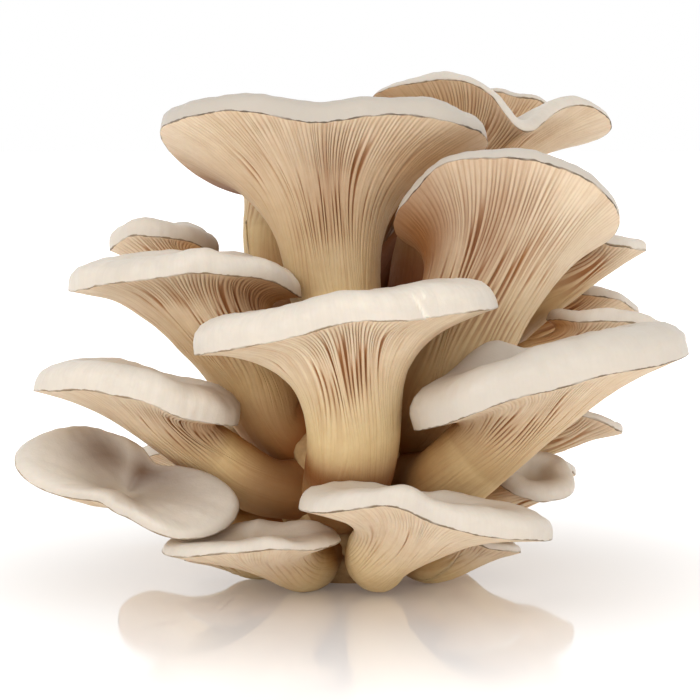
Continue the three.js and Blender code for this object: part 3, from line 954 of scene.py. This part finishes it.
def gill_material(gills, caps):
    """Gills and stem: pale edges, painted shade in the grooves, cream near the rim, golden down the stem,
    darker below, partly by painted shade.
    """
    material, shader = new_material("Gill flesh", 0.25)
    tree = material.node_tree
    along = attribute(tree, "along")
    streaks = use(tree, streak_group(), {"Flow": attribute(tree, "flow", "Vector")})[0]
    flesh = blend(tree, between(tree, along, -0.1, 0.8), gills.flesh, gills.bright)
    # Darker low on the stem: partly the flesh's own darker base, partly painted shade where the low stems lie
    # under the caps.
    flesh = blend(tree, between(tree, along, -0.75, -0.12, 0.95, 0.0), flesh, gills.base)
    # Painted shade between the gills: strongest on the middle of the underside, weaker at the rim, faint on
    # the stem.
    groove = between(tree, attribute(tree, "groove"), 0.05, 0.5)
    groove = math_node(tree, "MULTIPLY", groove, between(tree, along, 0.6, 1.0, 0.95, 0.25))
    groove = math_node(tree, "MULTIPLY", groove, between(tree, along, -0.05, 0.55, 0.06, 1.0))
    flesh = blend(tree, groove, flesh, gills.groove)
    streaky = math_node(tree, "MULTIPLY", between(tree, streaks, 0.45, 0.7), 0.3)
    flesh = blend(tree, streaky, flesh, gills.base)
    mottled = use(tree, mottle_group(), {"Colour": flesh, "Patches": gills.base, "Amount": 0.22})
    lined = use(tree, margin_group(), {
        "Colour": mottled["Colour"],
        "Line": caps.margin,
        "Margin": attribute(tree, "margin"),
        "Width": 0.3,
    })
    # painted shade in shut-in places
    shaded = use(tree, nook_group(), {
        "Colour": lined["Colour"], "Shade": gills.nook, "Nook": attribute(tree, "nook"),
    })
    # painted shade: soft spots of shade on the gills and stem
    darker = blend(tree, 1.0, shaded["Colour"], gills.browned, "MULTIPLY")
    browned = blend(tree, attribute(tree, "browned"), shaded["Colour"], darker)
    tint = blend(tree, attribute(tree, "torn"), browned, caps.torn)
    height = math_node(tree, "ADD", mottled["Height"], streaks)
    roughness = between(tree, mottled["Patches"], 0.2, 0.8, 0.55, 0.7)
    finish_surface(tree, shader, tint, roughness, height, 0.15 * MM)
    return material


def foot_material(settings):
    """Foot flesh: fibrous, cream on its lumps and brown between them."""
    material, shader = new_material("Foot flesh", 0.15)
    tree = material.node_tree
    low = between(tree, attribute(tree, "lump"), -1.2, 0.8, 1.0, 0.0)
    flesh = blend(tree, low, settings.flesh, settings.dark)
    mottled = use(tree, mottle_group(), {"Colour": flesh, "Patches": settings.dark, "Amount": 0.6})
    finish_surface(tree, shader, mottled["Colour"], 0.75, mottled["Height"], 0.4 * MM)
    return material


def floor_material(stage):
    """A pale floor, very faintly clouded. Away from the cluster it glows more and mirrors less."""
    material = bpy.data.materials.new("Pale floor")
    material.use_nodes = True
    tree = material.node_tree
    shader = tree.nodes["Principled BSDF"]
    place = add(tree, "ShaderNodeTexCoord").outputs["Object"]
    clouds = between(tree, noise(tree, place, 3.0), 0.3, 0.7)
    cloudy = [CLOUD_SHADE * value for value in stage.floor_colour]
    tint = blend(tree, clouds, stage.floor_colour, cloudy)
    tree.links.new(tint, shader.inputs["Base Color"])
    far = add(tree, "ShaderNodeVectorMath", {0: place}, operation="LENGTH").outputs["Value"]
    tree.links.new(between(tree, far, 0.06, 0.2, 0.05, 0.5), shader.inputs["Emission Strength"])
    shader.inputs["Emission Color"].default_value = (1, 1, 1, 1)
    duller = between(tree, far, 0.08, 0.22, 0.03, 0.3)
    gloss = math_node(tree, "ADD", duller, math_node(tree, "MULTIPLY", clouds, 0.02))
    tree.links.new(gloss, shader.inputs["Roughness"])
    shader.inputs["IOR"].default_value = FLOOR_IOR
    return material


# Stage


def add_light(name, power, place, size, tint):
    """A square soft light that shines at the middle of the cluster."""
    light = bpy.data.lights.new(name, "AREA")
    light.energy = power
    light.size = size
    light.color = tint
    made = bpy.data.objects.new(name, light)
    made.location = place
    centre = (CAD_BOX[0] + CAD_BOX[1]) / 2
    made.rotation_euler = (centre - Vector(place)).to_track_quat("-Z", "Y").to_euler()
    bpy.context.scene.collection.objects.link(made)


def add_camera(stage):
    """The camera, level with the caps and looking slightly down on them."""
    camera = bpy.data.cameras.new("Camera")
    camera.sensor_width = 36
    camera.lens = camera.sensor_width * stage.distance / stage.view_width
    camera.clip_start = 0.01
    camera.clip_end = 20
    made = bpy.data.objects.new("Camera", camera)
    back = Vector((0, -math.cos(stage.elevation), math.sin(stage.elevation)))
    made.location = Vector(stage.target) + back * stage.distance
    made.rotation_euler = (-back).to_track_quat("-Z", "Y").to_euler()
    bpy.context.scene.collection.objects.link(made)
    bpy.context.scene.camera = made


# Operators


class OYSTER_OT_mushrooms(bpy.types.Operator):
    """Grow every mushroom of the cluster on its net"""

    bl_idname = "oyster.mushrooms"
    bl_label = "Mushrooms"

    def execute(self, context):
        gills = context.scene.oyster_gills
        caps = context.scene.oyster_caps
        materials = (gill_material(gills, caps), cap_material(caps))
        middle_of_foot = np.array(sum(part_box(FOOT), Vector()) / 2)
        nets = {node: read_net(node, middle_of_foot) for node in MUSHROOMS}
        shut_in = nooks({**nets, FOOT: read_net(FOOT, np.zeros(3))})
        for seed, node in enumerate(MUSHROOMS):
            piece = mushroom(node, *nets[node], shut_in[node], gills, caps, materials, seed)
            dress(piece, node)
        return {"FINISHED"}


class OYSTER_OT_foot(bpy.types.Operator):
    """Build the lump that the mushrooms grow from"""

    bl_idname = "oyster.foot"
    bl_label = "Foot"

    def execute(self, context):
        dress(foot(context.scene.oyster_foot), FOOT)
        return {"FINISHED"}


class OYSTER_OT_stage(bpy.types.Operator):
    """Lay the floor and set the lights and the camera"""

    bl_idname = "oyster.stage"
    bl_label = "Stage"

    def execute(self, context):
        stage = context.scene.oyster_stage
        half = stage.floor_size
        corners = np.array([(-half, -half, 0), (half, -half, 0), (half, half, 0), (-half, half, 0)])
        triangles = np.array([(0, 1, 2), (0, 2, 3)])
        floor = add_mesh("floor", corners, triangles, (floor_material(stage),), np.zeros(2))
        world = bpy.data.worlds.new("Studio")
        world.use_nodes = True
        tree = world.node_tree
        sky = tree.nodes["Background"]
        sky.inputs["Color"].default_value = (1, 1, 1, 1)
        path = add(tree, "ShaderNodeLightPath").outputs
        seen = math_node(tree, "MAXIMUM", path["Is Camera Ray"], path["Is Glossy Ray"])
        tree.links.new(math_node(tree, "MAXIMUM", seen, stage.sky), sky.inputs["Strength"])
        context.scene.world = world
        add_light("key light", stage.key, *KEY_LIGHT)
        add_light("fill light", stage.fill, *FILL_LIGHT)
        add_camera(stage)
        context.scene.view_settings.view_transform = "Standard"
        return {"FINISHED"}


class OYSTER_PT_cluster(bpy.types.Panel):
    """Lists the steps that make the cluster"""

    bl_idname = "OYSTER_PT_cluster"
    bl_label = "Oyster mushroom cluster"
    bl_space_type = "VIEW_3D"
    bl_region_type = "UI"
    bl_category = "Mushrooms"

    def draw(self, context):
        for step in STEPS:
            self.layout.operator(step.bl_idname)


STEPS = (OYSTER_OT_foot, OYSTER_OT_mushrooms, OYSTER_OT_stage)
SETTINGS = {
    "oyster_gills": GillSettings,
    "oyster_caps": CapSettings,
    "oyster_foot": FootSettings,
    "oyster_stage": StageSettings,
}
CLASSES = (*SETTINGS.values(), *STEPS, OYSTER_PT_cluster)


def register():
    for entry in CLASSES:
        bpy.utils.register_class(entry)
    for name, entry in SETTINGS.items():
        setattr(bpy.types.Scene, name, PointerProperty(type=entry))


def unregister():
    for name in SETTINGS:
        delattr(bpy.types.Scene, name)
    for entry in reversed(CLASSES):
        bpy.utils.unregister_class(entry)


def main():
    """Registers the add-on and runs every step."""
    register()
    bpy.ops.oyster.foot()
    bpy.ops.oyster.mushrooms()
    bpy.ops.oyster.stage()


if __name__ == "__main__":
    main()
